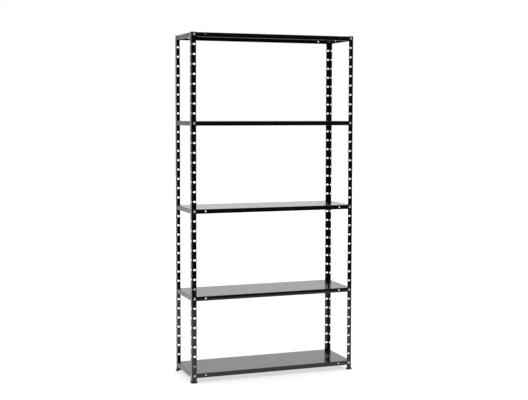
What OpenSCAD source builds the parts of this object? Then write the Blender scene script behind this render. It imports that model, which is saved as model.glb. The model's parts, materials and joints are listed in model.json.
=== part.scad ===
// Slotted-angle steel shelving: four L posts, five folded pan shelves, bolts, nuts and plastic shoes.
// It is drawn in millimetres and stands on z = 0, with its front facing -Y and its width along X.

/* [Overall size] */
// Height from the floor to the tops of the posts
height = 1800; // [1000:50:2400]
// Width over the outer faces of the posts
width = 900; // [600:50:1200]
// Depth over the outer faces of the posts
depth = 300; // [250:10:600]

/* [Posts] */
// Width of each leg of the L-shaped post
post_leg = 25; // [24:1:30]
// Thickness of the post's steel
post_sheet = 1.2; // [1:0.1:1.6]
// Outside radius of the post's bend
post_bend = 2; // [1.8:0.1:3]
// Distance from one slot to the next up the post
slot_pitch = 50; // [40:5:60]
// Height of the lowest slot above the floor
first_slot = 38; // [38:1:60]
// Distance from the post's corner to the middle of each slot
slot_inset = 14.5; // [14:0.5:16]
// Length of each slot, across the leg
slot_length = 15; // [12:0.5:16]
// Height of each slot, up the leg
slot_width = 9.5; // [7.5:0.5:10]

/* [Shelves] */
// Height of a shelf's folded lips
lip_height = 23; // [21:0.5:30]
// Thickness of the shelf's steel
shelf_sheet = 0.8; // [0.6:0.1:1]
// Outside radius of the shelf's bends
shelf_bend = 1.6; // [1.5:0.1:2.5]
// Width of the flange turned in under each lip
flange = 8; // [6:0.5:9]
// Distance from the shelf's top face down to its bolts
bolt_drop = 10.5; // [10:0.5:11]
// Diameter of the holes in the lips
lip_hole = 7.5; // [6.5:0.5:8]
// Distance from each bolt hole to the spare hole beside it
spare_hole_pitch = 60; // [40:5:70]

/* [Bolts and nuts] */
// Diameter of the bolt's thread
bolt_size = 6; // [5:1:6]
// Length of the bolt under its head
bolt_length = 10; // [8:1:10]
// Diameter of the bolt's mushroom head
head_size = 13; // [12:0.5:14]
// Height of the bolt's head
head_height = 3.2; // [2.5:0.1:3.4]
// Distance across the flats of the nut
nut_flats = 10; // [8:1:10]
// Height of the nut
nut_height = 5; // [4:0.5:5]

/* [Feet] */
// How far the foot's L-shaped sole stands out all round the post
foot_proud = 3; // [2.5:0.5:6]
// Height of the foot's collar above the floor
foot_height = 11; // [10:1:20]

/* [Hidden] */
$fn = 48;
SHELVES = ["bottom_shelf", "second_shelf", "middle_shelf", "fourth_shelf", "top_shelf"];
CORNERS = ["front_left", "front_right", "back_left", "back_right"];
// which side of the shelving each corner is on: -1 is left or front, 1 is right or back
SIDES = [[-1, -1], [1, -1], [-1, 1], [1, 1]];

steel_black = "#1c1c1e";
plastic_black = "#121212";
zinc = "#c8ccd2";

cut = 1;                                    // how far a cutter runs past the face it opens
top_margin = 12;                            // least steel from the top slot's middle to the post's end
slot_rows = floor((height - first_slot - top_margin) / slot_pitch) + 1;

post_bend_inside = post_bend - post_sheet;

shelf_width = width - 2 * post_sheet;       // the lips lie flat against the insides of the posts
shelf_depth = depth - 2 * post_sheet;
corner_gap = 2;                             // each lip stops this far short of the shelf's corner
flange_stop = 32;                           // the flange stops here, to leave room for a spanner

head_rim = 0.6;                             // straight edge below the head's dome
recess_arm = 1.2;                           // the cross recess in the head
recess_span = 5.6;
recess_depth = 1.8;
thread_chamfer = 0.6;
nut_chamfer = 0.5;
nut_clearance = 0.05;

foot_floor = 3;                             // plastic under the post's end
foot_rim = 4;                               // straight edge of the sole
foot_shoulder = 9;                          // where the flare meets the collar
foot_wall = 1.6;
foot_corner = 1.5;
socket_clearance = 0.15;

// height of a shelf's bolts: bottom and top shelf take the end slots, the others are spread between them
function bolt_height(shelf) =
    first_slot + slot_pitch * floor(shelf * (slot_rows - 1) / (len(SHELVES) - 1));

// puts a piece, drawn with the post's outside corner at the origin, at one corner of the shelving
module at_corner(corner) {
    side = SIDES[corner];
    translate([side[0] * width / 2, side[1] * depth / 2, 0])
        mirror([side[0] > 0 ? 1 : 0, 0, 0])
        mirror([0, side[1] > 0 ? 1 : 0, 0])
        children();
}

// draws a piece twice, once through each leg of the post, with its +Z running into the shelf
module through_both_legs() {
    translate([slot_inset, 0, 0]) rotate([-90, 0, 0]) children();
    translate([0, slot_inset, 0]) rotate([0, 90, 0]) children();
}

// a square with one round corner, at the origin
module corner_square(size, radius) {
    translate([radius, 0]) square([size - radius, size]);
    translate([0, radius]) square([size, size - radius]);
    translate([radius, radius]) circle(radius);
}

// a rectangle with four round corners
module round_rectangle(length, breadth, radius) {
    translate([radius, 0]) square([length - 2 * radius, breadth]);
    translate([0, radius]) square([length, breadth - 2 * radius]);
    for (x = [radius, length - radius], y = [radius, breadth - radius])
        translate([x, y]) circle(radius);
}

// the L of the post seen from above, or that L made bigger all round by grow
module post_outline(grow = 0) {
    inside_radius = max(post_bend_inside - grow, 0.2);
    difference() {
        translate([-grow, -grow]) corner_square(post_leg + 2 * grow, post_bend + grow);
        translate([post_sheet + grow, post_sheet + grow]) corner_square(post_leg + grow, inside_radius);
    }
}

// one slot with round ends, long across the leg
module slot_outline() {
    straight = slot_length - slot_width;
    square([straight, slot_width], center = true);
    for (side = [-1, 1])
        translate([side * straight / 2, 0]) circle(d = slot_width);
}

// the row of slot cutters for one leg: X is across the leg and Y is up it
module slot_cutters() {
    linear_extrude(post_sheet + 2 * cut)
        for (row = [0 : slot_rows - 1])
            translate([slot_inset, first_slot + row * slot_pitch]) slot_outline();
}

module post(corner) {
    color(steel_black) at_corner(corner) difference() {
        translate([0, 0, foot_floor]) linear_extrude(height - foot_floor) post_outline();
        translate([0, post_sheet + cut, 0]) rotate([90, 0, 0]) slot_cutters();
        translate([-cut, 0, 0]) rotate([90, 0, 90]) slot_cutters();
    }
}

// one quarter of a bent strip of sheet, round the origin, in the quadrant given by the two signs
module bend_outline(side_x, side_y) {
    intersection() {
        difference() {
            circle(shelf_bend);
            circle(shelf_bend - shelf_sheet);
        }
        translate([side_x > 0 ? 0 : -shelf_bend, side_y > 0 ? 0 : -shelf_bend])
            square(shelf_bend);
    }
}

// the top bend and the flat of a lip: X runs in from the lip's outer face and Y is up from its bottom edge
module lip_outline() {
    translate([shelf_bend, lip_height - shelf_bend]) bend_outline(-1, 1);
    translate([0, shelf_bend]) square([shelf_sheet, lip_height - 2 * shelf_bend]);
}

// the flange turned in under a lip, with its bend
module flange_outline() {
    translate([shelf_bend, shelf_bend]) bend_outline(-1, -1);
    translate([shelf_bend, 0]) square([flange - shelf_bend, shelf_sheet]);
}

// a lip of the given length along X, standing on z = 0 with its outer face on y = 0
module lip(length) {
    flange_length = length - 2 * (flange_stop - corner_gap);
    rotate([90, 0, 90]) {
        translate([0, 0, -length / 2]) linear_extrude(length) lip_outline();
        translate([0, 0, -flange_length / 2]) linear_extrude(flange_length) flange_outline();
    }
    for (side = [-1, 1])
        translate([side > 0 ? flange_length / 2 : -length / 2, 0, 0])
            cube([(length - flange_length) / 2, shelf_sheet, shelf_bend]);
}

// the two holes at each end of a lip whose posts stand span apart over their outer faces
module lip_holes(span) {
    for (side = [-1, 1], inset = [slot_inset, slot_inset + spare_hole_pitch])
        translate([side * (span / 2 - inset), -cut, lip_height - bolt_drop])
            rotate([-90, 0, 0]) cylinder(h = shelf_sheet + 2 * cut, d = lip_hole);
}

module drilled_lip(length, span) {
    difference() {
        lip(length);
        lip_holes(span);
    }
}

module shelf(level) {
    sheet_width = shelf_width - 2 * shelf_bend;
    sheet_depth = shelf_depth - 2 * shelf_bend;
    color(steel_black) translate([0, 0, bolt_height(level) + bolt_drop - lip_height]) {
        translate([-sheet_width / 2, -sheet_depth / 2, lip_height - shelf_sheet])
            cube([sheet_width, sheet_depth, shelf_sheet]);
        for (turn = [0, 180]) {
            rotate([0, 0, turn]) translate([0, -shelf_depth / 2, 0])
                drilled_lip(shelf_width - 2 * corner_gap, width);
            rotate([0, 0, turn + 90]) translate([0, -shelf_width / 2, 0])
                drilled_lip(shelf_depth - 2 * corner_gap, depth);
        }
    }
}

// a mushroom-head bolt: its head's flat underside is on z = 0 and its thread runs up +Z
module bolt() {
    dome_height = head_height - head_rim;
    dome_radius = (pow(head_size / 2, 2) + pow(dome_height, 2)) / (2 * dome_height);
    difference() {
        intersection() {
            translate([0, 0, dome_radius - head_height]) sphere(dome_radius);
            translate([0, 0, -head_height]) cylinder(h = head_height, d = head_size);
        }
        for (turn = [0, 90])
            rotate([0, 0, turn]) translate([-recess_span / 2, -recess_arm / 2, -head_height - cut])
                cube([recess_span, recess_arm, recess_depth + cut]);
    }
    cylinder(h = bolt_length - thread_chamfer, d = bolt_size);
    translate([0, 0, bolt_length - thread_chamfer])
        cylinder(h = thread_chamfer, d1 = bolt_size, d2 = bolt_size - 2 * thread_chamfer);
}

module bolts(level, corner) {
    color(zinc) at_corner(corner) translate([0, 0, bolt_height(level)]) through_both_legs() bolt();
}

// a hexagon nut with both faces chamfered, standing on z = 0
module nut() {
    across_corners = nut_flats / cos(30);
    difference() {
        intersection() {
            cylinder(h = nut_height, d = across_corners, $fn = 6);
            union() {
                cylinder(h = nut_chamfer, d1 = nut_flats, d2 = across_corners);
                translate([0, 0, nut_chamfer])
                    cylinder(h = nut_height - 2 * nut_chamfer, d = across_corners);
                translate([0, 0, nut_height - nut_chamfer])
                    cylinder(h = nut_chamfer, d1 = across_corners, d2 = nut_flats);
            }
        }
        translate([0, 0, -cut]) cylinder(h = nut_height + 2 * cut, d = bolt_size + 2 * nut_clearance);
    }
}

module nuts(level, corner) {
    color(zinc) at_corner(corner) translate([0, 0, bolt_height(level)])
        through_both_legs() translate([0, 0, post_sheet + shelf_sheet]) nut();
}

// the side view of the sole and its flare, round a part of the post that reaches from 0 to reach
module flare_outline(reach) {
    polygon([
        [-foot_proud, 0], [reach + foot_proud, 0], [reach + foot_proud, foot_rim],
        [reach + foot_wall, foot_shoulder], [-foot_wall, foot_shoulder], [-foot_proud, foot_rim]
    ]);
}

// the sole and flare under one leg of the post: both side views and the round corners cut each other
module foot_arm(reach_x, reach_y) {
    length_x = reach_x + 2 * foot_proud;
    length_y = reach_y + 2 * foot_proud;
    intersection() {
        translate([-foot_proud, -foot_proud, 0])
            linear_extrude(foot_shoulder) round_rectangle(length_x, length_y, foot_corner);
        translate([0, length_y, 0])
            rotate([90, 0, 0]) linear_extrude(2 * length_y) flare_outline(reach_x);
        translate([-length_x, 0, 0])
            rotate([90, 0, 90]) linear_extrude(2 * length_x) flare_outline(reach_y);
    }
}

module foot(corner) {
    color(plastic_black) at_corner(corner) difference() {
        union() {
            foot_arm(post_leg, post_sheet);
            foot_arm(post_sheet, post_leg);
            linear_extrude(foot_height) post_outline(foot_wall);
        }
        translate([0, 0, foot_floor]) linear_extrude(foot_height) post_outline(socket_clearance);
    }
}

for (corner = [0 : len(CORNERS) - 1]) {
    post(corner);
    foot(corner);
}
for (level = [0 : len(SHELVES) - 1]) {
    shelf(level);
    for (corner = [0 : len(CORNERS) - 1]) {
        place = str(SHELVES[level], "_", CORNERS[corner]);
        bolts(level, corner);
        nuts(level, corner);
    }
}
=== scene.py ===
# %% [markdown]
# # Bolted steel shelving
# Light shelving for a garage or a stockroom is sheet steel, cut flat, punched, folded and stoved in black
# enamel. Four L-shaped posts stand in plastic shoes, and five folded pans are bolted inside the corners.
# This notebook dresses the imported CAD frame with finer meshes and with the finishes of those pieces.
# Everything is in metres, and every place is worked out from the frame, so nothing has to be fitted.

# %% Load the frame
import json
import math
import random

import bmesh
import bpy
from mathutils import Matrix, Vector, noise

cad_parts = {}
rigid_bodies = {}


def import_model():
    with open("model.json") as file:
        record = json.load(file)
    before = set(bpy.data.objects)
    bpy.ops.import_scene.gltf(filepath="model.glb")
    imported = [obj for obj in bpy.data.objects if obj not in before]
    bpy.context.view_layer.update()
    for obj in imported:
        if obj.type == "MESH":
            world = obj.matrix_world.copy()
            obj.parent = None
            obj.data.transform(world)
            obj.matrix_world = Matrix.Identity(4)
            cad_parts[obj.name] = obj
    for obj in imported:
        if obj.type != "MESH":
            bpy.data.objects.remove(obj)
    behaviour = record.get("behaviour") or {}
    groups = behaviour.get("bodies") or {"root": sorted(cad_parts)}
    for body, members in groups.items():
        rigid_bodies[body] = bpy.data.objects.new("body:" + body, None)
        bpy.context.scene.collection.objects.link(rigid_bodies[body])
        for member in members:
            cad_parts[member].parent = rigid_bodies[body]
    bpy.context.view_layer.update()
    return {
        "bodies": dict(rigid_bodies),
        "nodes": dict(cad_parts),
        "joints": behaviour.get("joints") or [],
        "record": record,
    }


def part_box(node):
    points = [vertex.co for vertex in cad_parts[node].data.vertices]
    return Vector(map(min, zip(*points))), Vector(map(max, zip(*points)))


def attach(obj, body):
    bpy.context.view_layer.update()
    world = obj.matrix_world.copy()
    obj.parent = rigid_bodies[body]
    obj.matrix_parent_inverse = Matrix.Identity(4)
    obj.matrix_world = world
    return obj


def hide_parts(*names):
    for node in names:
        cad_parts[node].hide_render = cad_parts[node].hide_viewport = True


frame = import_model()
mounts = {mount["name"]: mount for mount in frame["record"]["mounts"]}
print("nodes in the frame:", len(frame["nodes"]))

# %% [markdown]
# ## Sizes
# A maker would read these off the drawing. The posts, shelves, feet and bolts say where they are through
# their boxes, and the wall tie in the record gives the slots. Only what is hidden in a box, such as a
# bend or a sheet's thickness, is written here as a number.

# %% Names of the pieces
MM = 0.001
SHELVES = ["bottom_shelf", "second_shelf", "middle_shelf", "fourth_shelf", "top_shelf"]
# each corner with its side: -1 is left or front, 1 is right or back
CORNERS = {"front_left": (-1, -1), "front_right": (1, -1), "back_left": (-1, 1), "back_right": (1, 1)}

# %% Sizes of the posts and their slots
post_low, post_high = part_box("post_front_left")
shelf_low, shelf_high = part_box("middle_shelf")
half_width = -post_low.x
half_depth = -post_low.y
post_leg = post_high.x - post_low.x
post_sheet = half_width - shelf_high.x
POST_BEND = 2.0 * MM
SLOT_PITCH = 50 * MM

tie = mounts["wall_tie"]["dims"]
slot_length = tie["slot_length_mm"] * MM
slot_width = 2 * tie["hole_r_mm"] * MM
slot_inset = half_width - tie["spacing_x_mm"] * MM / 2


def middle(node):
    """The middle of a CAD node's box."""
    low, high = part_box(node)
    return (low + high) / 2


first_slot = middle("bolts_bottom_shelf_front_left").z
slot_rows = int((post_high.z - first_slot) / SLOT_PITCH) + 1
print("posts:", round(half_width * 2, 4), "by", round(half_depth * 2, 4), "m, rows of slots:", slot_rows)

# %% Sizes of the shelves
shelf_half_width = shelf_high.x
shelf_half_depth = shelf_high.y
lip_height = shelf_high.z - shelf_low.z
bolt_drop = shelf_high.z - middle("bolts_middle_shelf_front_left").z
SHELF_SHEET = 0.8 * MM
SHELF_BEND = 1.6 * MM
FLANGE = 8 * MM
FLANGE_STOP = 32 * MM
CORNER_GAP = 2 * MM       # each lip stops this far short of the shelf's corner
LIP_HOLE = 7.5 * MM
SPARE_HOLE_PITCH = 60 * MM
print("shelf lip:", round(lip_height, 4), "m, bolts", round(bolt_drop, 4), "m below the top")

# %% [markdown]
# ## Camera
# The camera stands at the left of the shelving, five and a third metres in front of it and a little above
# the second shelf from the top, and it looks slightly down. A long lens keeps the posts nearly parallel.
# A small shift centres the shelving with less tipping, so the posts stay nearly upright.

# %% Camera
CAMERA_PLACE = Vector((-1.988, -5.319, 1.3935))
CAMERA_TURN = 20.48       # degrees to the right of straight ahead
CAMERA_TIP = 3.644        # degrees below level
CAMERA_ROLL = 0.1         # degrees anticlockwise, as on a tripod that is not quite level
CAMERA_LENS = 72.31       # millimetres
CAMERA_SHIFT = -0.0379    # share of the picture's width

camera = bpy.data.objects.new("camera", bpy.data.cameras.new("camera"))
camera.data.lens = CAMERA_LENS
camera.data.shift_y = CAMERA_SHIFT
camera.location = CAMERA_PLACE
camera.rotation_euler = (math.radians(90 - CAMERA_TIP), 0, math.radians(-CAMERA_TURN))
camera.rotation_euler.rotate_axis("Z", math.radians(CAMERA_ROLL))
bpy.context.scene.collection.objects.link(camera)
bpy.context.scene.camera = camera
print("camera is", round(CAMERA_PLACE.length, 2), "m from the middle of the floor")

# %% [markdown]
# ## Helpers for materials
# A material is a small graph of nodes. One function adds a node, sets its properties and fills its
# inputs: an input is a plain value, another node's output, or a whole node, which stands for its first
# output. Colours are written as sRGB hex, as on a paint chart, and turned to the linear values that a
# renderer needs. Patterns are sized in millimetres on the real piece.

# %% Colour and scale
def linear(hex_colour):
    """An sRGB hex colour as linear RGBA."""
    parts = [int(hex_colour[i:i + 2], 16) / 255 for i in (1, 3, 5)]
    return tuple(c / 12.92 if c <= 0.04045 else ((c + 0.055) / 1.055) ** 2.4 for c in parts) + (1.0,)


def per_metre(grain_mm):
    """The noise scale that gives a pattern with grains of this many millimetres."""
    return 1 / (grain_mm * MM)


print("mid grey in linear light:", round(linear("#808080")[0], 3))


# %% One node
def add(tree, kind, settings=None, inputs=None):
    """Adds one shader node, with its properties and its inputs."""
    node = tree.nodes.new("ShaderNode" + kind)
    for name, value in (settings or {}).items():
        setattr(node, name, value)
    for name, value in (inputs or {}).items():
        socket = next(s for s in node.inputs if s.enabled and name in (s.name, s.identifier))
        if isinstance(value, bpy.types.Node):
            value = next(s for s in value.outputs if s.enabled)
        if isinstance(value, bpy.types.NodeSocket):
            tree.links.new(value, socket)
        else:
            socket.default_value = value
    return node


def new_finish(name):
    """An empty material, its node tree, and the place of each point in metres."""
    finish = bpy.data.materials.new(name)
    finish.use_nodes = True
    tree = finish.node_tree
    tree.nodes.clear()
    return finish, tree, add(tree, "TexCoord").outputs["Object"]


# A noise value keeps close to a half, and these two values are near its lowest and its highest.
NOISE_LOW = 0.3
NOISE_HIGH = 0.7
print("noise is spread from", NOISE_LOW, "to", NOISE_HIGH)

# %% [markdown]
# ## Black stoved enamel
# The posts and shelves are cold-rolled steel under a thin coat of black stoved enamel. To the eye it is
# almost pure black, with a clear skin that mirrors the room at low angles: looked at from near its own
# plane, a shelf's top turns pale grey. Three things keep it from looking like glass. The coat has the
# faint dimples called orange peel, the rolled sheet below it is a little uneven, and handling leaves
# patches that are less glossy.

# %% Black stoved enamel
ENAMEL_IOR = 1.5
ORANGE_PEEL_MM = 3.0      # real dimples are about 1.5 mm apart, and are drawn coarser to show
ORANGE_PEEL_DEPTH = 0.03 * MM
SHEET_WAVE_MM = 110.0
SHEET_WAVE_DEPTH = 1.0 * MM
HANDLING_MM = 45.0
DUST_MM = 1.5
DUST_FROM = 0.65          # noise above this is a speck of dust
DUST_COVER = 0.1          # how much of the paint a speck hides
BUMP_STRENGTH = 0.2
GLOSS_HANDLED = 0.12      # roughness where hands have polished the coat
GLOSS_STOVED = 0.2        # roughness as it left the oven


def black_enamel():
    finish, tree, place = new_finish("black_stoved_enamel")
    handling = add(tree, "TexNoise", {}, {
        "Vector": place, "Scale": per_metre(HANDLING_MM), "Detail": 4.0})
    specks = add(tree, "TexNoise", {}, {"Vector": place, "Scale": per_metre(DUST_MM)})
    dust = add(tree, "MapRange", {}, {
        "Value": specks, "From Min": DUST_FROM, "From Max": NOISE_HIGH, "To Max": DUST_COVER})
    coat = add(tree, "Mix", {"data_type": "RGBA"}, {
        "Factor": handling, "A": linear("#060608"), "B": linear("#0e0e10")})
    dusty = add(tree, "Mix", {"data_type": "RGBA"}, {"Factor": dust, "A": coat, "B": linear("#343436")})
    gloss = add(tree, "MapRange", {}, {
        "Value": handling, "From Min": NOISE_LOW, "From Max": NOISE_HIGH,
        "To Min": GLOSS_HANDLED, "To Max": GLOSS_STOVED})
    wave = add(tree, "TexNoise", {}, {"Vector": place, "Scale": per_metre(SHEET_WAVE_MM)})
    peel = add(tree, "TexNoise", {}, {"Vector": place, "Scale": per_metre(ORANGE_PEEL_MM)})
    uneven = add(tree, "Bump", {}, {
        "Height": wave, "Strength": BUMP_STRENGTH, "Distance": SHEET_WAVE_DEPTH})
    dimpled = add(tree, "Bump", {}, {
        "Height": peel, "Strength": BUMP_STRENGTH, "Distance": ORANGE_PEEL_DEPTH, "Normal": uneven})
    surface = add(tree, "BsdfPrincipled", {}, {
        "Base Color": dusty, "Roughness": gloss, "IOR": ENAMEL_IOR, "Normal": dimpled})
    add(tree, "OutputMaterial", {}, {"Surface": surface})
    return finish


enamel = black_enamel()
print("made", enamel.name)

# %% [markdown]
# ## Enamel on the edges
# Wet enamel draws back from a sharp edge, so the rims of slots, holes and lips carry a thin coat that is
# a little greyer, and that rubs through in places. The rounded rims of the meshes get this finish of
# their own, which keeps the wear exactly on the edges.

# %% Worn enamel of the edges
RUB_MM = 6.0
WORN_FROM = 0.6           # noise above this is a worn spot
EDGE_ROUGH_LOW, EDGE_ROUGH_HIGH = 0.22, 0.38


def edge_enamel():
    finish, tree, place = new_finish("thin_enamel_on_edges")
    rub = add(tree, "TexNoise", {}, {"Vector": place, "Scale": per_metre(RUB_MM), "Detail": 5.0})
    worn = add(tree, "MapRange", {}, {"Value": rub, "From Min": WORN_FROM, "From Max": NOISE_HIGH})
    colour = add(tree, "Mix", {"data_type": "RGBA"}, {
        "Factor": worn, "A": linear("#151517"), "B": linear("#38393b")})
    gloss = add(tree, "MapRange", {}, {
        "Value": rub, "From Min": NOISE_LOW, "From Max": NOISE_HIGH,
        "To Min": EDGE_ROUGH_LOW, "To Max": EDGE_ROUGH_HIGH})
    surface = add(tree, "BsdfPrincipled", {}, {
        "Base Color": colour, "Roughness": gloss, "IOR": ENAMEL_IOR})
    add(tree, "OutputMaterial", {}, {"Surface": surface})
    return finish


worn_enamel = edge_enamel()
print("made", worn_enamel.name)

# %% [markdown]
# ## Bright zinc plate
# Bolts and nuts are steel, tumbled in a plating drum and passivated clear. The drum leaves them bright
# but not mirror-like, with a faint blue cast and tiny knocks. A metal has no colour under its skin, so
# the shader is fully metallic, and its colour is that of the reflection.

# %% Zinc plate
KNOCK_MM = 1.2
KNOCK_DEPTH = 0.05 * MM
KNOCK_STRENGTH = 0.3
CAST_MM = 4.0
ZINC_ROUGH_LOW, ZINC_ROUGH_HIGH = 0.24, 0.36


def zinc_plate():
    finish, tree, place = new_finish("bright_zinc_plate")
    cast = add(tree, "TexNoise", {}, {"Vector": place, "Scale": per_metre(CAST_MM), "Detail": 3.0})
    knocks = add(tree, "TexNoise", {}, {"Vector": place, "Scale": per_metre(KNOCK_MM), "Detail": 3.0})
    colour = add(tree, "Mix", {"data_type": "RGBA"}, {
        "Factor": cast, "A": linear("#bcc1c8"), "B": linear("#d6d4ce")})
    gloss = add(tree, "MapRange", {}, {
        "Value": cast, "From Min": NOISE_LOW, "From Max": NOISE_HIGH,
        "To Min": ZINC_ROUGH_LOW, "To Max": ZINC_ROUGH_HIGH})
    knocked = add(tree, "Bump", {}, {
        "Height": knocks, "Strength": KNOCK_STRENGTH, "Distance": KNOCK_DEPTH})
    surface = add(tree, "BsdfPrincipled", {}, {
        "Base Color": colour, "Metallic": 1.0, "Roughness": gloss, "Normal": knocked})
    add(tree, "OutputMaterial", {}, {"Surface": surface})
    return finish


zinc = zinc_plate()
print("made", zinc.name)

# %% [markdown]
# ## Moulded polypropylene
# The shoes are injection-moulded polypropylene, coloured black all through. The mould is spark-eroded,
# which gives the plastic a fine, even grain and a soft sheen, so it looks a touch greyer than the enamel
# from above and darker from the front. Near the floor it is scuffed and dusty.

# %% Black polypropylene
POLYPROPYLENE_IOR = 1.49
SPARK_GRAIN_MM = 0.9      # the real grain is about 0.2 mm, and is drawn coarser to show
SPARK_GRAIN_DEPTH = 0.05 * MM
SPARK_GRAIN_STRENGTH = 0.4
SCUFF_MM = 5.0
SCUFF_HEIGHT = 5 * MM     # above this the plastic is nearly clean
SCUFF_AT_FLOOR, SCUFF_ABOVE = 0.8, 0.05
PLASTIC_ROUGH_LOW, PLASTIC_ROUGH_HIGH = 0.42, 0.56


def black_polypropylene():
    finish, tree, place = new_finish("black_moulded_polypropylene")
    height = add(tree, "SeparateXYZ", {}, {"Vector": place}).outputs["Z"]
    low_down = add(tree, "MapRange", {}, {
        "Value": height, "From Min": 0.0, "From Max": SCUFF_HEIGHT,
        "To Min": SCUFF_AT_FLOOR, "To Max": SCUFF_ABOVE})
    scuffs = add(tree, "TexNoise", {}, {"Vector": place, "Scale": per_metre(SCUFF_MM), "Detail": 5.0})
    scuffed = add(tree, "Math", {"operation": "MULTIPLY"}, {"Value": low_down, "Value_001": scuffs})
    colour = add(tree, "Mix", {"data_type": "RGBA"}, {
        "Factor": scuffed, "A": linear("#101011"), "B": linear("#3b3a38")})
    sheen = add(tree, "MapRange", {}, {
        "Value": scuffs, "From Min": NOISE_LOW, "From Max": NOISE_HIGH,
        "To Min": PLASTIC_ROUGH_LOW, "To Max": PLASTIC_ROUGH_HIGH})
    grain = add(tree, "TexNoise", {}, {"Vector": place, "Scale": per_metre(SPARK_GRAIN_MM)})
    grained = add(tree, "Bump", {}, {
        "Height": grain, "Strength": SPARK_GRAIN_STRENGTH, "Distance": SPARK_GRAIN_DEPTH})
    surface = add(tree, "BsdfPrincipled", {}, {
        "Base Color": colour, "Roughness": sheen, "IOR": POLYPROPYLENE_IOR, "Normal": grained})
    add(tree, "OutputMaterial", {}, {"Surface": surface})
    return finish


polypropylene = black_polypropylene()
print("made", polypropylene.name)

# %% [markdown]
# ## From flat pattern to folded sheet
# A press shop cuts sheet steel flat, punches its holes and then folds it. The meshes are made in the
# same order. A grid of lines is laid over the flat pattern, a cell with a hole is drawn as four faces
# round the hole, and a fold function says where each point ends up. That gives one skin, the outside
# of the sheet. A Solidify modifier then gives it the thickness of the steel, and a Bevel modifier
# rounds the rims. Cutting holes with booleans would work too, but leaves untidy faces.

# %% The rim of a hole, in four parts
RIM_STEPS = 6             # steps in a quarter of a round end
POLE_SHARE = 1e-6         # this near the middle, a point of the rim is at its top or bottom


def hole_rim(u, v, length, width):
    """The rim of a hole with round ends: its lower, right, upper and left quarters, anticlockwise."""
    straight = (length - width) / 2
    quarters = []
    for quarter in range(4):
        points = []
        for step in range(RIM_STEPS + 1):
            angle = math.radians(-135 + 90 * (quarter + step / RIM_STEPS))
            across = width / 2 * math.cos(angle)
            up = width / 2 * math.sin(angle)
            at_pole = abs(across) < width * POLE_SHARE
            ends = [-1, 1] if at_pole else [math.copysign(1, across)]
            if at_pole and up > 0:
                ends.reverse()
            points += [(u + across + end * straight, v + up) for end in ends]
        quarters.append(points)
    return quarters


# %% A grid of faces over the flat pattern
KEY_DECIMALS = 7          # points that agree to this many decimals of a metre are one point


def lay_pattern(mesh, fold, across, along, holes=(), missing=None, flip=False):
    """Fills the cells between the lines across and along, leaves the holes open and folds every point."""
    made = {}

    def point(u, v):
        key = (round(u, KEY_DECIMALS), round(v, KEY_DECIMALS))
        if key not in made:
            made[key] = mesh.verts.new(fold(u, v))
        return made[key]

    def face(points):
        corners = list(dict.fromkeys(point(u, v) for u, v in points))
        mesh.faces.new(corners[::-1] if flip else corners)

    for u0, u1 in zip(across, across[1:]):
        for v0, v1 in zip(along, along[1:]):
            if missing and missing((u0 + u1) / 2, (v0 + v1) / 2):
                continue
            corners = [(u0, v0), (u1, v0), (u1, v1), (u0, v1)]
            here = [hole for hole in holes if u0 < hole[0] < u1 and v0 < hole[1] < v1]
            if not here:
                face(corners)
                continue
            for side, quarter in enumerate(hole_rim(*here[0])):
                face([corners[side], corners[(side + 1) % 4]] + quarter[::-1])


# %% From a mesh to a finished piece
WELD_DISTANCE = 0.001 * MM
BEVEL_SEGMENTS = 2
ROUNDED_FROM = math.radians(30)     # edges that turn by more than this are rounded


def piece_from(mesh, name, finishes):
    """A Blender object made from a bmesh, with its materials, smooth faces and no stray points."""
    bmesh.ops.remove_doubles(mesh, verts=mesh.verts, dist=WELD_DISTANCE)
    data = bpy.data.meshes.new(name)
    mesh.to_mesh(data)
    mesh.free()
    data.shade_smooth()
    for finish in finishes:
        data.materials.append(finish)
    piece = bpy.data.objects.new(name, data)
    bpy.context.scene.collection.objects.link(piece)
    return piece


def round_edges(piece, radius, edge_finish=0):
    """Rounds every sharp edge, and keeps the flat faces flat in the light."""
    bevel = piece.modifiers.new("rounded_edges", "BEVEL")
    bevel.width = radius
    bevel.segments = BEVEL_SEGMENTS
    bevel.limit_method = "ANGLE"
    bevel.angle_limit = ROUNDED_FROM
    bevel.harden_normals = True
    bevel.material = edge_finish


def settle(piece):
    """Turns the modifiers' result into the piece's own mesh."""
    graph = bpy.context.evaluated_depsgraph_get()
    seen = piece.evaluated_get(graph)
    data = bpy.data.meshes.new_from_object(seen, preserve_all_data_layers=True, depsgraph=graph)
    piece.modifiers.clear()
    piece.data = data
    return piece


def sheet_piece(mesh, name, thickness, edge_radius):
    """A folded skin, given the thickness of its steel on the inside, with enamelled rims."""
    piece = piece_from(mesh, name, [enamel, worn_enamel])
    steel = piece.modifiers.new("steel", "SOLIDIFY")
    steel.thickness = thickness
    steel.offset = -1
    steel.use_even_offset = True
    round_edges(piece, edge_radius, edge_finish=1)
    return settle(piece)


def hand_over(piece, material_slot, *nodes):
    """Makes the piece stand for its CAD nodes and move with the shelving."""
    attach(piece, "root")
    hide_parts(*nodes)


# %% [markdown]
# ## Posts
# A post is a strip of steel with two rows of slots, folded once along its middle. Across the strip the
# pattern runs from the free edge of the front leg, round the bend, to the free edge of the side leg.
# Each row of slots has its own band of cells, so the slots are evenly framed. The four posts are the
# same strip folded towards the four corners, and a mirrored one has its faces turned to point outwards.

# %% Posts
BEND_STEPS = 8
POST_RIM_RADIUS = 0.2 * MM


def post_fold(side_x, side_y):
    """Folds the strip round the bend at one corner of the shelving."""
    flat = post_leg - POST_BEND
    bend_length = POST_BEND * math.pi / 2

    def fold(u, v):
        if u <= flat:
            inward = (post_leg - u, 0)
        elif u < flat + bend_length:
            angle = (u - flat) / POST_BEND
            inward = (POST_BEND * (1 - math.sin(angle)), POST_BEND * (1 - math.cos(angle)))
        else:
            inward = (0, u - flat - bend_length + POST_BEND)
        return (side_x * (half_width - inward[0]), side_y * (half_depth - inward[1]), v)

    return fold


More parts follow.
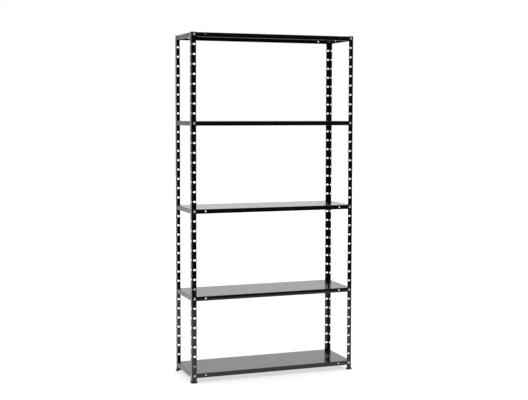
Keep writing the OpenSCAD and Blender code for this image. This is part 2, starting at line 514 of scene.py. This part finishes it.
def make_post(corner):
    side_x, side_y = CORNERS[corner]
    flat = post_leg - POST_BEND
    bend_length = POST_BEND * math.pi / 2
    bend = [flat + bend_length * step / BEND_STEPS for step in range(BEND_STEPS + 1)]
    across = [0] + bend + [2 * flat + bend_length]
    heights = [first_slot + SLOT_PITCH * row for row in range(slot_rows)]
    along = [post_low.z] + [height + SLOT_PITCH / 2 for height in heights[:-1]] + [post_high.z]
    slot_places = (post_leg - slot_inset, flat + bend_length + slot_inset - POST_BEND)
    slots = [(u, v, slot_length, slot_width) for u in slot_places for v in heights]
    mesh = bmesh.new()
    lay_pattern(mesh, post_fold(side_x, side_y), across, along, slots, flip=side_x * side_y > 0)
    post = sheet_piece(mesh, "painted_post_" + corner, post_sheet, POST_RIM_RADIUS)
    hand_over(post, "black_paint", "post_" + corner)
    return post


posts = [make_post(corner) for corner in CORNERS]
print("posts:", len(posts), "with", len(posts[0].data.polygons), "faces each")

# %% [markdown]
# ## Shelves
# A shelf is one sheet in the shape of a wide cross. Its four arms are folded down into lips, and the end
# of each arm is folded in again as a narrow flange, which stiffens the lip. The lips stop just short of
# the corners, and the flanges well short of them, to leave room for the bolts. The same fold works for
# width and depth: a point's distance from the shelf's middle says how far round the folds it lies. The
# top is not a perfect plane, because thin sheet never lies quite flat, and it is that slight unevenness
# that bends its reflections.

# %% Fold of a shelf
SHELF_BEND_STEPS = 5
SHELF_RIM_RADIUS = 0.15 * MM
SHEET_SAG = 0.25 * MM
SAG_LENGTH = 0.16
bend_arc = SHELF_BEND * math.pi / 2
lip_flat = lip_height - 2 * SHELF_BEND


def fold_down(distance, half):
    """Where a point at this distance from the middle ends up: how far out, and how far below the top."""
    flat = half - SHELF_BEND
    beyond = abs(distance) - flat
    out, drop = flat, 0.0
    if beyond <= 0:
        out = abs(distance)
    elif beyond < bend_arc:
        out = flat + SHELF_BEND * math.sin(beyond / SHELF_BEND)
        drop = SHELF_BEND * (1 - math.cos(beyond / SHELF_BEND))
    elif beyond <= bend_arc + lip_flat:
        out = half
        drop = SHELF_BEND + beyond - bend_arc
    elif beyond < 2 * bend_arc + lip_flat:
        angle = (beyond - bend_arc - lip_flat) / SHELF_BEND
        out = flat + SHELF_BEND * math.cos(angle)
        drop = lip_height - SHELF_BEND * (1 - math.sin(angle))
    else:
        out = flat - (beyond - 2 * bend_arc - lip_flat)
        drop = lip_height
    return math.copysign(out, distance), drop


def sag(x, y, top):
    """How far an uneven sheet lies below its folds, at one point of a shelf's top."""
    fade = (1 - (x / shelf_half_width) ** 4) * (1 - (y / shelf_half_depth) ** 4)
    unevenness = noise.noise(Vector((x, y, top)) / SAG_LENGTH)
    return SHEET_SAG * max(fade, 0) * (0.5 + 0.5 * unevenness)


# %% Lines of the shelf's pattern
HOLE_FRAME = 8 * MM
GRID_STEP = 22 * MM


def pattern_lines(half, hole_places):
    """The grid lines over one direction of a shelf's pattern, from the end of one flange to the other."""
    flat = half - SHELF_BEND
    frames = [place + side * HOLE_FRAME for place in hole_places for side in (-1, 1)]
    inside = [frame for frame in frames if frame < half - CORNER_GAP]
    marks = sorted({0.0, half - FLANGE_STOP, half - CORNER_GAP, flat, *inside})
    inner = [0.0]
    for low, high in zip(marks, marks[1:]):
        parts = math.ceil((high - low) / GRID_STEP)
        inner += [low + (high - low) * (part + 1) / parts for part in range(parts)]
    outer = [flat + bend_arc * (step + 1) / SHELF_BEND_STEPS for step in range(SHELF_BEND_STEPS)]
    outer += [x + bend_arc + lip_flat for x in [flat] + outer]
    outer.append(flat + 2 * bend_arc + lip_flat + FLANGE - SHELF_BEND)
    positive = inner + sorted(set(outer))
    return [-x for x in positive[:0:-1]] + positive


# %% Shelves
def make_shelf(name):
    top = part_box(name)[1].z
    hole_insets = (slot_inset, slot_inset + SPARE_HOLE_PITCH)
    holes_x = [half_width - inset for inset in hole_insets]
    holes_y = [half_depth - inset for inset in hole_insets]
    flat_x = shelf_half_width - SHELF_BEND
    flat_y = shelf_half_depth - SHELF_BEND
    hole_drop = bend_arc + bolt_drop - SHELF_BEND
    to_flange = 2 * bend_arc + lip_flat

    def fold(u, v):
        x, drop_x = fold_down(u, shelf_half_width)
        y, drop_y = fold_down(v, shelf_half_depth)
        on_top = abs(u) < flat_x and abs(v) < flat_y
        return (x, y, top - drop_x - drop_y - (sag(x, y, top) if on_top else 0))

    def missing(u, v):
        from_end_x, from_end_y = shelf_half_width - abs(u), shelf_half_depth - abs(v)
        beside_x = from_end_y < (FLANGE_STOP if abs(u) > flat_x + to_flange else CORNER_GAP)
        beside_y = from_end_x < (FLANGE_STOP if abs(v) > flat_y + to_flange else CORNER_GAP)
        return (abs(u) > flat_x and beside_x) or (abs(v) > flat_y and beside_y)

    holes = [(sx * x, sy * (flat_y + hole_drop), LIP_HOLE, LIP_HOLE)
             for x in holes_x for sx in (-1, 1) for sy in (-1, 1)]
    holes += [(sx * (flat_x + hole_drop), sy * y, LIP_HOLE, LIP_HOLE)
              for y in holes_y for sx in (-1, 1) for sy in (-1, 1)]
    mesh = bmesh.new()
    across = pattern_lines(shelf_half_width, holes_x)
    along = pattern_lines(shelf_half_depth, holes_y)
    lay_pattern(mesh, fold, across, along, holes, missing)
    shelf = sheet_piece(mesh, "painted_" + name, SHELF_SHEET, SHELF_RIM_RADIUS)
    hand_over(shelf, "black_paint", name)
    return shelf


shelves = [make_shelf(name) for name in SHELVES]
print("shelves:", len(shelves), "with", len(shelves[0].data.polygons), "faces each")

# %% [markdown]
# ## Turned and moulded shapes
# The small parts are round or block-shaped solids with pieces cut away, so they are made the way a
# machinist thinks: turn a profile round an axis, or raise a wall on an outline, and then cut one solid
# with another. The exact Boolean solver leaves closed meshes, and a small bevel afterwards gives the
# edges the softness that catches the light.

# %% A turned solid
ROUND_STEPS = 48


def turn_profile(mesh, profile):
    """Turns a profile of (radius, height) round the Z axis. A radius of 0 closes it on the axis."""
    rings = []
    for radius, height in profile:
        angles = [2 * math.pi * step / ROUND_STEPS for step in range(ROUND_STEPS)]
        if radius == 0:
            rings.append([mesh.verts.new((0, 0, height))] * ROUND_STEPS)
        else:
            rings.append([
                mesh.verts.new((radius * math.cos(a), radius * math.sin(a), height)) for a in angles])
    for low, high in zip(rings, rings[1:]):
        for i in range(ROUND_STEPS):
            j = (i + 1) % ROUND_STEPS
            mesh.faces.new(list(dict.fromkeys([low[i], low[j], high[j], high[i]])))


# %% A wall raised on an outline
CORNER_STEPS = 6


def rounded(corners, steps=CORNER_STEPS):
    """An outline of square corners (x, y, radius), anticlockwise, with each corner rounded."""
    points = []
    for index, (x, y, radius) in enumerate(corners):
        before = Vector(corners[index - 1][:2])
        after = Vector(corners[(index + 1) % len(corners)][:2])
        corner = Vector((x, y))
        back = (before - corner).normalized()
        on = (after - corner).normalized()
        middle_point = corner + (back + on) * radius
        for step in range(steps + 1):
            angle = math.pi / 2 * step / steps
            points.append(middle_point - (on * math.cos(angle) + back * math.sin(angle)) * radius)
    return points


def stack_outlines(mesh, levels):
    """A closed solid through outlines with equally many points, from the bottom up (points, height)."""
    rings = []
    for points, height in levels:
        rings.append([mesh.verts.new((point.x, point.y, height)) for point in points])
    for low, high in zip(rings, rings[1:]):
        for i in range(len(low)):
            j = (i + 1) % len(low)
            mesh.faces.new([low[i], low[j], high[j], high[i]])
    mesh.faces.new(rings[0][::-1])
    mesh.faces.new(rings[-1])


# %% One solid cut by another
def combine(piece, tool_mesh, operation):
    """Cuts a piece with a solid, or joins the two."""
    tool = piece_from(tool_mesh, "tool", [])
    boolean = piece.modifiers.new("cut", "BOOLEAN")
    boolean.operation = operation
    boolean.solver = "EXACT"
    boolean.object = tool
    settle(piece)
    bpy.data.objects.remove(tool)
    return piece


# %% [markdown]
# ## Bolts
# The bolts are M6 with a low mushroom head and a cross recess, made by cold heading: a punch forms the
# head and the recess in wire, and flat dies roll the thread. The thread is a true right-handed helix with
# a pitch of one millimetre. Its flanks are laid out as a long strip that climbs by one pitch in each
# turn, and both ends are then cut off square.

# %% Sizes of a bolt
corner_bolts_low, corner_bolts_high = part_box("bolts_middle_shelf_front_left")
head_height = -half_depth - corner_bolts_low.y
head_radius = (corner_bolts_high.z - corner_bolts_low.z) / 2
HEAD_RIM = 0.6 * MM
DOME_STEPS = 10
RECESS_DEPTH = 1.8 * MM
RECESS_CORNER = 0.15 * MM
RECESS_CORNER_STEPS = 2
# span and arm of the cross recess: above the head's top, part of the way down, and at the bottom
RECESS_STEPS = [(6.4 * MM, 1.9 * MM, -1 / 3), (3.6 * MM, 1.3 * MM, 2 / 3), (1.6 * MM, 0.8 * MM, 1)]
HEAD_EDGE = 0.12 * MM
BOLT_LENGTH = 10 * MM
THREAD_RADIUS = 3 * MM
THREAD_PITCH = 1 * MM
THREAD_DEPTH = 0.613 * THREAD_PITCH     # as in every metric thread
THREAD_STEPS = 32
THREAD_CHAMFER = 0.6 * MM
print("head:", round(head_radius * 2, 5), "m across and", round(head_height, 5), "m high")


# %% Head with its cross recess
def cross_outline(span, arm):
    """A cross with arms this wide and this far from tip to tip."""
    tip, side = span / 2, arm / 2
    corners = []
    for turn in range(4):
        cos, sin = round(math.cos(turn * math.pi / 2)), round(math.sin(turn * math.pi / 2))
        for x, y in ((tip, -side), (tip, side), (side, side)):
            corners.append((x * cos - y * sin, x * sin + y * cos, RECESS_CORNER))
    return rounded(corners, RECESS_CORNER_STEPS)


def make_head():
    """The mushroom head, hanging below z = 0, where it meets the post."""
    dome = head_height - HEAD_RIM
    dome_radius = (head_radius ** 2 + dome ** 2) / (2 * dome)
    slope = math.asin(head_radius / dome_radius)
    profile = []
    for step in range(DOME_STEPS + 1):
        angle = slope * step / DOME_STEPS
        profile.append((dome_radius * math.sin(angle), dome_radius * (1 - math.cos(angle)) - head_height))
    mesh = bmesh.new()
    turn_profile(mesh, profile + [(head_radius, 0), (0, 0)])
    head = piece_from(mesh, "bolt_pattern", [zinc])
    punch = bmesh.new()
    stack_outlines(punch, [(cross_outline(span, arm), RECESS_DEPTH * share - head_height)
                           for span, arm, share in RECESS_STEPS])
    combine(head, punch, "DIFFERENCE")
    round_edges(head, HEAD_EDGE)
    return settle(head)


# %% Rolled thread
def make_thread(start, end):
    """A solid rod with a right-handed thread, cut off square at both ends."""
    root_radius = THREAD_RADIUS - THREAD_DEPTH
    # one pitch of the thread: the share of the pitch climbed and the radius there
    tooth = [(0, THREAD_RADIUS), (1 / 8, THREAD_RADIUS), (7 / 16, root_radius), (11 / 16, root_radius)]
    mesh = bmesh.new()
    made = {}

    def point(row, column):
        row += len(tooth) * (column // THREAD_STEPS)
        column %= THREAD_STEPS
        if (row, column) not in made:
            share, radius = tooth[row % len(tooth)]
            turns = row // len(tooth) - 1 + share + column / THREAD_STEPS
            height = start + turns * THREAD_PITCH
            radius = min(radius, THREAD_RADIUS - max(height - end + THREAD_CHAMFER, 0))
            angle = 2 * math.pi * column / THREAD_STEPS
            made[row, column] = mesh.verts.new((radius * math.cos(angle), radius * math.sin(angle), height))
        return made[row, column]

    for row in range(len(tooth) * (math.ceil((end - start) / THREAD_PITCH) + 1)):
        for column in range(THREAD_STEPS):
            mesh.faces.new([point(row, column), point(row, column + 1),
                            point(row + 1, column + 1), point(row + 1, column)])
    for height, away in ((start, -1), (end, 1)):
        everything = mesh.verts[:] + mesh.edges[:] + mesh.faces[:]
        bmesh.ops.bisect_plane(mesh, geom=everything, plane_co=(0, 0, height), plane_no=(0, 0, away),
                               clear_outer=True)
    bmesh.ops.holes_fill(mesh, edges=[edge for edge in mesh.edges if edge.is_boundary])
    return mesh


# %% One bolt as a pattern for all
SHARP_ANGLE = math.radians(40)

bolt_pattern = combine(make_head(), make_thread(-HEAD_RIM / 2, BOLT_LENGTH), "UNION")
bolt_pattern.data.set_sharp_from_angle(angle=SHARP_ANGLE)
print("bolt pattern:", len(bolt_pattern.data.polygons), "faces")

# %% [markdown]
# ## Nuts
# A cold-formed M6 nut is a hexagon, ten millimetres across its flats, whose corners are turned off at
# both faces. A Boolean of a hexagon and a cone would leave slivers, so the nut is laid out as one ring of
# slices. Each slice runs from the bore out to the hexagon and back, and the further the hexagon reaches
# out there, the more the cone has taken off its edges. Its thread is hidden by the bolt, so the bore is
# left plain.

# %% One nut as a pattern for all
NUT_FLATS = 10 * MM
NUT_HEIGHT = 5 * MM
NUT_FACE = 4.9 * MM       # radius of the flat ring on each face
NUT_BORE = 3.05 * MM
NUT_COUNTERSINK = 0.4 * MM
CHAMFER_SLOPE = math.tan(math.radians(30))
NUT_SLICES = 72
SHARP_NUT_ANGLE = math.radians(20)


def nut_slice(angle):
    """The outline of the nut at this angle, as (radius, height), from the lower end of the bore."""
    from_flat = (angle + math.pi / 6) % (math.pi / 3) - math.pi / 6
    side = NUT_FLATS / 2 / math.cos(from_flat)
    drop = (side - NUT_FACE) * CHAMFER_SLOPE
    wide = NUT_BORE + NUT_COUNTERSINK
    lower = [(NUT_BORE, NUT_COUNTERSINK), (wide, 0), (NUT_FACE, 0), (side, drop)]
    return lower + [(radius, NUT_HEIGHT - height) for radius, height in reversed(lower)]


def make_nut():
    """A nut standing on z = 0."""
    mesh = bmesh.new()
    slices = []
    for index in range(NUT_SLICES):
        angle = 2 * math.pi * index / NUT_SLICES
        slices.append([mesh.verts.new((radius * math.cos(angle), radius * math.sin(angle), height))
                       for radius, height in nut_slice(angle)])
    for index, here in enumerate(slices):
        after = slices[(index + 1) % NUT_SLICES]
        for k in range(len(here)):
            mesh.faces.new([here[k - 1], after[k - 1], after[k], here[k]])
    bmesh.ops.recalc_face_normals(mesh, faces=mesh.faces)
    nut = piece_from(mesh, "nut_pattern", [zinc])
    nut.data.set_sharp_from_angle(angle=SHARP_NUT_ANGLE)
    return nut


nut_pattern = make_nut()
print("nut pattern:", len(nut_pattern.data.polygons), "faces")

# %% [markdown]
# ## Bolting up
# Every corner of every shelf takes two bolts, one through each leg of the post, and a nut on each. They
# are copies of the two patterns, turned so that their thread points into the shelf. Nobody stops a
# screwdriver at the same angle twice, so each copy is also turned about its own axis by chance, from a
# seed that always gives the same angles.

# %% Copies of the patterns at every corner
TURNS_SEED = 24
turns = random.Random(TURNS_SEED)


def bolted_places(shelf, corner):
    """The two places at a shelf's corner where the outside of the post meets a bolt, turned inwards."""
    side_x, side_y = CORNERS[corner]
    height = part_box(shelf)[1].z - bolt_drop
    through_front = Vector((side_x * (half_width - slot_inset), side_y * half_depth, height))
    through_side = Vector((side_x * half_width, side_y * (half_depth - slot_inset), height))
    back = Vector((0, -side_y, 0))
    across = Vector((-side_x, 0, 0))
    for place, inwards in ((through_front, back), (through_side, across)):
        yield Matrix.Translation(place) @ inwards.to_track_quat("Z", "Y").to_matrix().to_4x4()


def copies_of(pattern, name, shelf, corner, lift):
    """Two copies of a pattern in one piece, each lifted along its bolt and turned by chance."""
    mesh = bmesh.new()
    for place in bolted_places(shelf, corner):
        copy = pattern.data.copy()
        turn = Matrix.Rotation(turns.uniform(0, 2 * math.pi), 4, "Z")
        copy.transform(place @ Matrix.Translation((0, 0, lift)) @ turn)
        mesh.from_mesh(copy)
        bpy.data.meshes.remove(copy)
    data = bpy.data.meshes.new(name)
    mesh.to_mesh(data)
    mesh.free()
    data.materials.append(zinc)
    piece = bpy.data.objects.new(name, data)
    bpy.context.scene.collection.objects.link(piece)
    return piece


nut_lift = post_sheet + SHELF_SHEET
for shelf_name in SHELVES:
    for corner_name in CORNERS:
        here = shelf_name + "_" + corner_name
        bolts = copies_of(bolt_pattern, "zinc_bolts_" + here, shelf_name, corner_name, 0)
        hand_over(bolts, "zinc_plate", "bolts_" + here)
        nuts = copies_of(nut_pattern, "zinc_nuts_" + here, shelf_name, corner_name, nut_lift)
        hand_over(nuts, "zinc_plate", "nuts_" + here)
for pattern in (bolt_pattern, nut_pattern):
    bpy.data.objects.remove(pattern)
print("bolted corners:", len(SHELVES) * len(CORNERS))

# %% [markdown]
# ## Feet
# Each post ends in a moulded shoe, so that the thin steel does not cut the floor. The shoe follows the L
# of the post: a thin sole stands out a few millimetres all round, and draws in with a hollow curve to a
# low collar. Seen from above, every level is the same L, grown by more or less, so the shoe is one stack
# of such outlines. The socket for the post is then cut out of it. The shoe is drawn in the post's own
# corner and turned to each corner of the shelving.

# %% Sizes of a foot
foot_low, foot_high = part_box("foot_front_left")
foot_proud = -half_width - foot_low.x
foot_height = foot_high.z
FOOT_RIM = 4 * MM
FOOT_SHOULDER = 9 * MM
FOOT_WALL = 1.6 * MM
SOLE_ROUND = 0.5 * MM
SOLE_BEND = 1.5 * MM      # radius of the sole's outer corner, seen from above
ARM_ROUND = 1.4 * MM      # radius of the ends of the L
INNER_ROUND = 0.2 * MM
FLARE_STEPS = 8
SOCKET_CLEARANCE = 0.15 * MM
FOOT_EDGE = 0.25 * MM
foot_length = foot_high.x - foot_low.x
print("foot:", round(foot_length, 4), "m along each arm and", round(foot_height, 4), "m high")


# %% Outline of a foot
def post_outline(grow, bend, arm_round):
    """The L of the post from above, made bigger all round."""
    low = -grow
    high = post_leg + grow
    inner = post_sheet + grow
    return rounded([(low, low, bend), (high, low, arm_round), (high, inner, arm_round),
                    (inner, inner, INNER_ROUND), (inner, high, arm_round), (low, high, arm_round)])


# %% Feet
def make_foot(corner):
    side_x, side_y = CORNERS[corner]
    levels = [(post_outline(foot_proud - SOLE_ROUND, SOLE_BEND, ARM_ROUND - SOLE_ROUND), 0.0)]
    levels.append((post_outline(foot_proud, SOLE_BEND, ARM_ROUND), SOLE_ROUND))
    for step in range(FLARE_STEPS + 1):
        share = step / FLARE_STEPS
        draw_in = math.sin(share * math.pi / 2)
        grow = foot_proud + (FOOT_WALL - foot_proud) * draw_in
        bend = SOLE_BEND + (POST_BEND + FOOT_WALL - SOLE_BEND) * draw_in
        height = FOOT_RIM + (FOOT_SHOULDER - FOOT_RIM) * share
        levels.append((post_outline(grow, bend, ARM_ROUND), height))
    levels.append((post_outline(FOOT_WALL, POST_BEND + FOOT_WALL, ARM_ROUND), foot_height))
    mesh = bmesh.new()
    stack_outlines(mesh, levels)
    foot = piece_from(mesh, "moulded_foot_" + corner, [polypropylene])
    socket = bmesh.new()
    gap = post_outline(SOCKET_CLEARANCE, POST_BEND, INNER_ROUND)
    stack_outlines(socket, [(gap, post_low.z), (gap, foot_height + FOOT_WALL)])
    combine(foot, socket, "DIFFERENCE")
    to_corner = Matrix.Translation((side_x * half_width, side_y * half_depth, 0))
    foot.data.transform(to_corner @ Matrix.Diagonal((-side_x, -side_y, 1, 1)))
    if side_x * side_y < 0:
        foot.data.flip_normals()
    round_edges(foot, FOOT_EDGE)
    settle(foot)
    hand_over(foot, "black_plastic", "foot_" + corner)
    return foot


feet = [make_foot(corner) for corner in CORNERS]
print("feet:", len(feet), "with", len(feet[0].data.polygons), "faces each")

# %% [markdown]
# ## Studio
# Black gloss shows nothing but what it mirrors, so the room is what gives the shelving its look. The
# walls behind it are white, which turns the shelf tops pale, and the room behind the camera is dim, which
# keeps the fronts black. The wall at the left is half lit, for the side lips and the side legs. The floor
# ends 2 m in front of the shelving and 17 m behind it. A dim gap lies between its far end and the white
# walls, which keeps the undersides of the upper shelves black. The lamp is a wide soft sky that casts no
# shadow, so that the floor stays pale under the bottom shelf too, and surfaces that scatter light get a
# little of the room's own light on top.

# %% Floor
FLOOR_FRONT, FLOOR_BACK, FLOOR_SIDE = -2.1, 17.0, 10.0
FLOOR_CLOUD_MM = 900.0
FLOOR_ROUGHNESS = 0.75


def pale_floor():
    finish, tree, place = new_finish("white_studio_floor")
    cloud = add(tree, "TexNoise", {}, {"Vector": place, "Scale": per_metre(FLOOR_CLOUD_MM)})
    colour = add(tree, "Mix", {"data_type": "RGBA"}, {
        "Factor": cloud, "A": linear("#f6f6f6"), "B": linear("#fafaf9")})
    surface = add(tree, "BsdfPrincipled", {}, {"Base Color": colour, "Roughness": FLOOR_ROUGHNESS})
    add(tree, "OutputMaterial", {}, {"Surface": surface})
    return finish


floor_data = bpy.data.meshes.new("floor")
floor_corners = [(-FLOOR_SIDE, FLOOR_FRONT, 0), (FLOOR_SIDE, FLOOR_FRONT, 0),
                 (FLOOR_SIDE, FLOOR_BACK, 0), (-FLOOR_SIDE, FLOOR_BACK, 0)]
floor_data.from_pydata(floor_corners, [], [(0, 1, 2, 3)])
floor_data.materials.append(pale_floor())
floor = bpy.data.objects.new("studio_floor", floor_data)
bpy.context.scene.collection.objects.link(floor)
print("floor:", 2 * FLOOR_SIDE, "m wide")

# %% Room
ROOM_WHITE = 1.0
ROOM_DIM = 0.05           # behind the camera
ROOM_LEFT = 0.3           # the wall at the left
ROOM_GAP = 0.1            # between the end of the floor and the walls
ROOM_TOP = 1.0
ROOM_FILL = 0.12          # soft light on dull surfaces, on top of the lamp's
# each part of the room: the axis it lies along, from where to where it fades, and its brightness there
ROOM_PARTS = [("Y", -0.75, -0.15, ROOM_DIM, ROOM_WHITE), ("X", -0.8, 0.05, ROOM_LEFT, ROOM_WHITE),
              ("Z", -0.068, -0.05, ROOM_GAP, ROOM_WHITE)]
OVERHEAD_FROM, OVERHEAD_TO = 0.35, 0.9


def studio_room():
    """White all round for the camera, and in reflections bright behind and overhead."""
    world = bpy.data.worlds.new("studio_room")
    world.use_nodes = True
    tree = world.node_tree
    tree.nodes.clear()
    way = add(tree, "SeparateXYZ", {}, {"Vector": add(tree, "TexCoord").outputs["Generated"]})
    walls = ROOM_WHITE
    for axis, start, end, first, last in ROOM_PARTS:
        fade = add(tree, "MapRange", {"interpolation_type": "SMOOTHSTEP"}, {
            "Value": way.outputs[axis], "From Min": start, "From Max": end,
            "To Min": first, "To Max": last})
        walls = add(tree, "Math", {"operation": "MULTIPLY"}, {"Value": walls, "Value_001": fade})
    overhead = add(tree, "MapRange", {"interpolation_type": "SMOOTHSTEP"}, {
        "Value": way.outputs["Z"], "From Min": OVERHEAD_FROM, "From Max": OVERHEAD_TO})
    lit = add(tree, "Mix", {"data_type": "FLOAT"}, {"Factor": overhead, "A": walls, "B": ROOM_TOP})
    path = add(tree, "LightPath")
    filled = add(tree, "Mix", {"data_type": "FLOAT"}, {
        "Factor": path.outputs["Is Diffuse Ray"], "A": lit, "B": ROOM_FILL})
    seen = add(tree, "Mix", {"data_type": "FLOAT"}, {
        "Factor": path.outputs["Is Camera Ray"], "A": filled, "B": ROOM_WHITE})
    room = add(tree, "Background", {}, {"Color": linear("#ffffff"), "Strength": seen})
    add(tree, "OutputWorld", {}, {"Surface": room})
    return world


bpy.context.scene.world = studio_room()
bpy.context.scene.view_settings.view_transform = "Standard"
print("made", bpy.context.scene.world.name)

# %% Lamp
LAMP_STRENGTH = 3.5
LAMP_SPREAD = 110         # degrees across the sky that the lamp covers

lamp = bpy.data.objects.new("soft_lamp", bpy.data.lights.new("soft_lamp", "SUN"))
lamp.data.energy = LAMP_STRENGTH
lamp.data.angle = math.radians(LAMP_SPREAD)
lamp.data.use_shadow = False
lamp.visible_glossy = False
bpy.context.scene.collection.objects.link(lamp)
print("lamp:", LAMP_STRENGTH, "W for each square metre")
